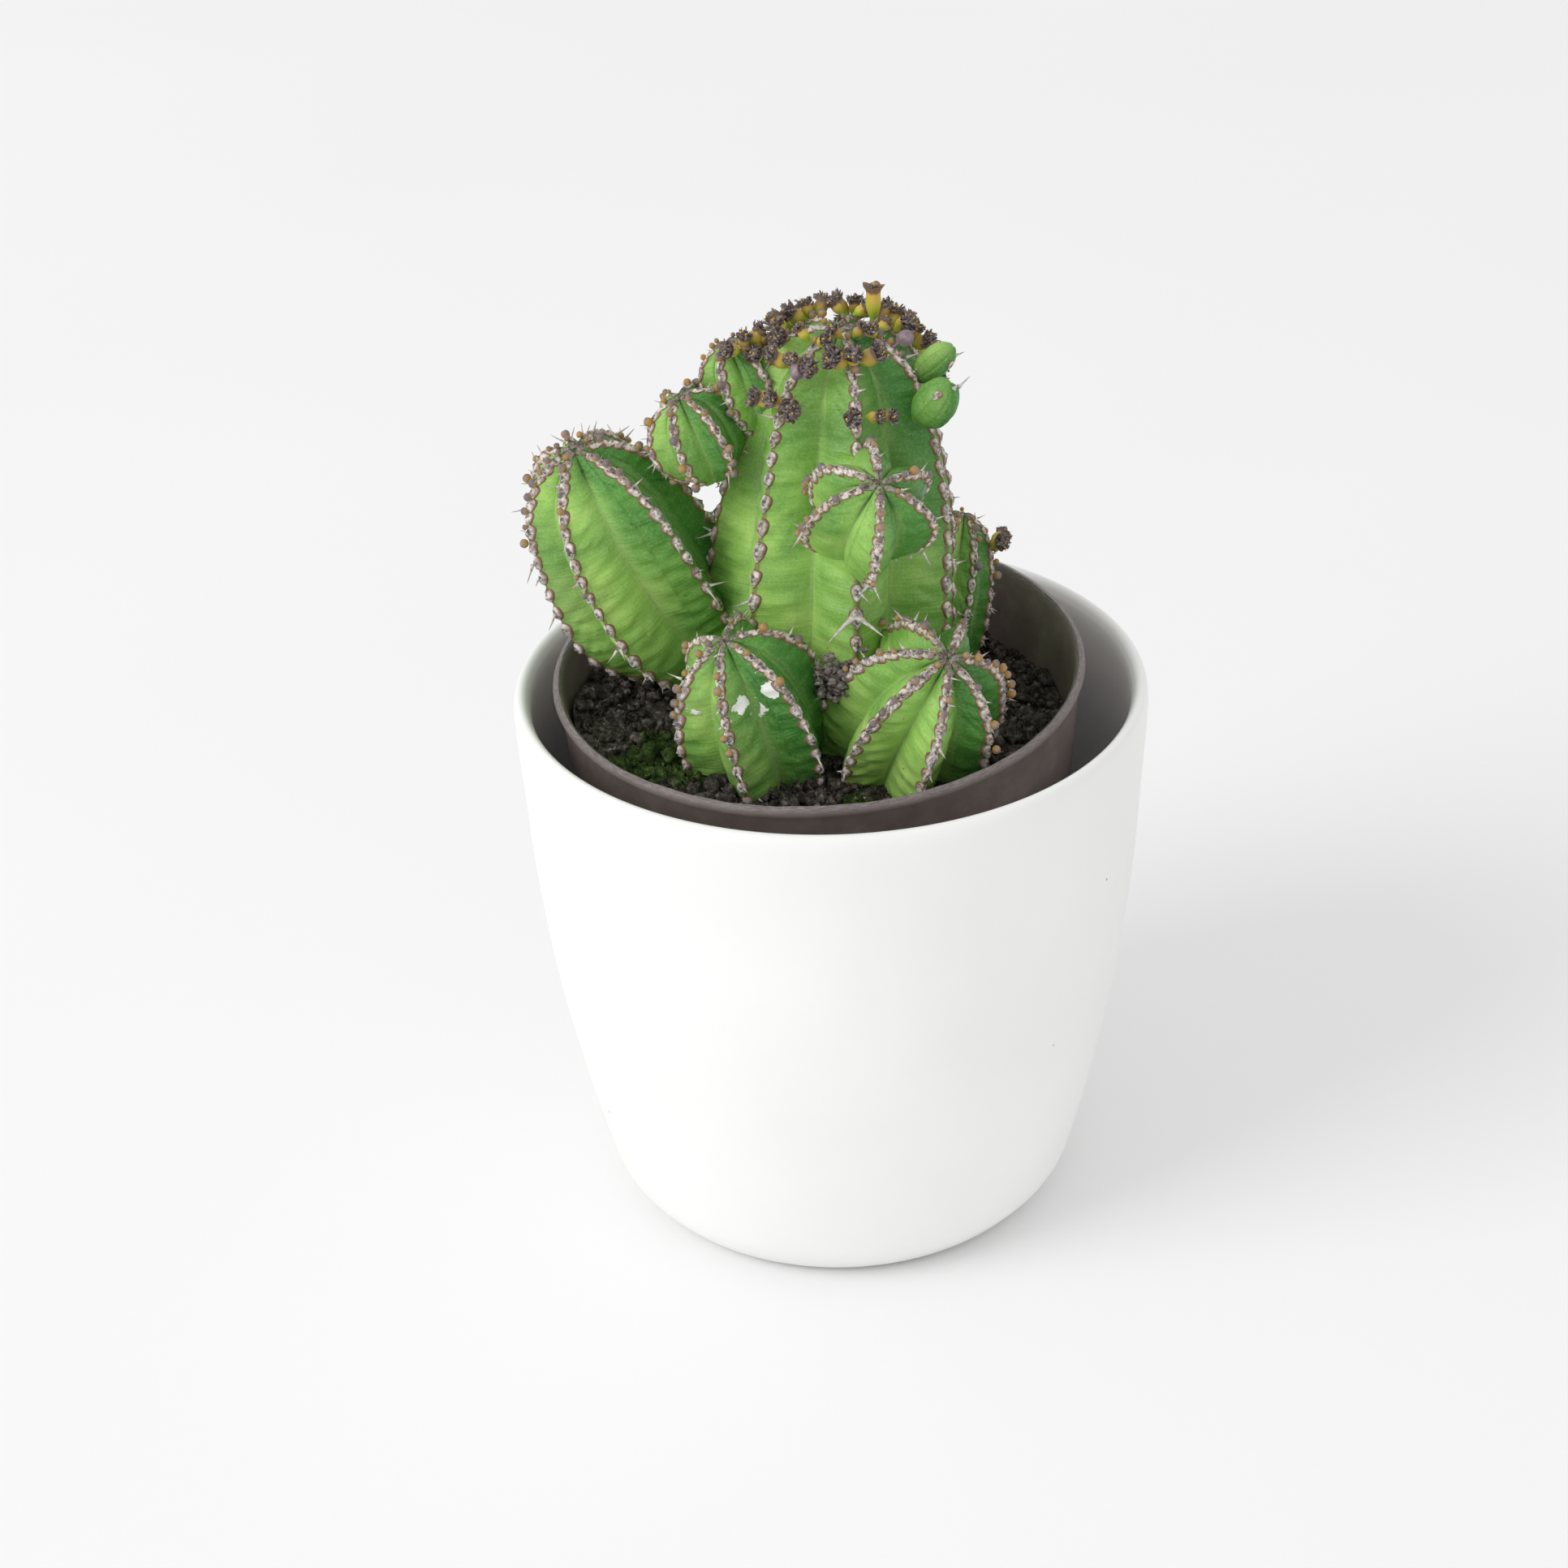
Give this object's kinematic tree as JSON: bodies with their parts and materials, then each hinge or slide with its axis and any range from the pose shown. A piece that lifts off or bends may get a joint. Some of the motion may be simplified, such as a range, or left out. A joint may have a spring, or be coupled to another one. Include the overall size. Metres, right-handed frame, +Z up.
{
  "type": "potted many-stemmed succulent",
  "caption": "Squat clustering cactus-like succulent with ribbed stems, spine shields and dried flowers, in a leaning plastic grow pot inside a round white cover pot.",
  "frame": {"origin": "centre of the flat underside of the cover pot, on the surface it stands on", "axes": "+Z up; +X to the right and -Y towards a viewer who faces the front pair of offsets"},
  "size_m": [0.14, 0.14, 0.2196],
  "materials": {
    "cover_pot_glaze": "satin white glaze",
    "grow_pot_plastic": "thin moulded taupe plastic, scuffed at the lip",
    "peat_soil": "loose dark peat crumbs with moss",
    "waxy_skin": "semi-matte waxy green plant skin with corky beige spine shields and grey spines",
    "dried_flower": "yellow-green cups dried dark grey-brown at the mouth",
    "seed_capsule": "dull purple-grey skin"
  },
  "bodies": {
    "root": {"back_left_offset": "waxy_skin", "back_right_flower": "dried_flower", "back_right_offset": "waxy_skin", "centre_branch": "waxy_skin", "cover_pot": "cover_pot_glaze", "crown_flower_front_1": "dried_flower", "crown_flower_front_2": "dried_flower", "crown_flower_front_3": "dried_flower", "crown_flower_front_4": "dried_flower", "crown_flower_front_5": "dried_flower", "crown_flower_left_1": "dried_flower", "crown_flower_left_2": "dried_flower", "crown_flower_left_3": "dried_flower", "crown_flower_left_4": "dried_flower", "crown_flower_right_1": "dried_flower", "crown_flower_right_2": "dried_flower", "crown_flower_right_3": "dried_flower", "crown_flower_right_4": "dried_flower", "crown_flower_right_5": "dried_flower", "crown_flower_right_6": "dried_flower", "front_left_offset": "waxy_skin", "front_right_offset": "waxy_skin", "grow_pot": "grow_pot_plastic", "left_stem": "waxy_skin", "main_stem": "waxy_skin", "seed_capsule_1": "seed_capsule", "seed_capsule_2": "seed_capsule", "shelf_flower": "dried_flower", "shoulder_pup": "waxy_skin", "shoulder_pup_upper": "waxy_skin", "soil": "peat_soil", "tall_crown_flower": "dried_flower", "upper_left_branch": "waxy_skin", "upper_left_rear": "waxy_skin"}
  },
  "joints": []
}
